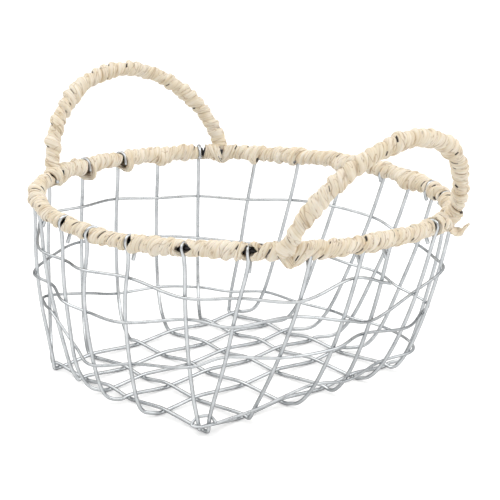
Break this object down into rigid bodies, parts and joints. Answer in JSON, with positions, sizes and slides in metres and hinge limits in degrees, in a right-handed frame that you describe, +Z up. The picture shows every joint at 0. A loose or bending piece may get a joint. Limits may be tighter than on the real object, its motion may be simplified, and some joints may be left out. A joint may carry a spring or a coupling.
{
  "type": "wire basket",
  "caption": "Open hand-woven wire basket with a raffia-wrapped rim and fixed raffia-wrapped arch handles.",
  "frame": {"origin": "middle of the bounding box at rest level, where the lowest base wires touch the table", "axes": "+X along the basket from the left handle to the right handle, +Y toward the back, +Z up"},
  "size_m": [0.2916, 0.2384, 0.1923],
  "materials": {
    "galvanised_wire": "satin galvanised",
    "dark_core_wire": "dull dark annealed wire",
    "raffia_strip": "matt natural raffia"
  },
  "bodies": {
    "root": {"cross_wire_1": "galvanised_wire", "cross_wire_2": "galvanised_wire", "cross_wire_3": "galvanised_wire", "cross_wire_4": "galvanised_wire", "cross_wire_5": "galvanised_wire", "cross_wire_6": "galvanised_wire", "foot_lashing_left_back": "raffia_strip", "foot_lashing_left_front": "raffia_strip", "foot_lashing_right_back": "raffia_strip", "foot_lashing_right_front": "raffia_strip", "handle_wire_left": "dark_core_wire", "handle_wire_right": "dark_core_wire", "handle_wrap_left": "raffia_strip", "handle_wrap_right": "raffia_strip", "length_wire_1": "galvanised_wire", "length_wire_2": "galvanised_wire", "length_wire_3": "galvanised_wire", "length_wire_4": "galvanised_wire", "length_wire_5": "galvanised_wire", "length_wire_6": "galvanised_wire", "rim_hoop": "dark_core_wire", "rim_wrap_back": "raffia_strip", "rim_wrap_front": "raffia_strip", "rim_wrap_left": "raffia_strip", "rim_wrap_right": "raffia_strip", "weaver_wire": "galvanised_wire"}
  },
  "joints": []
}
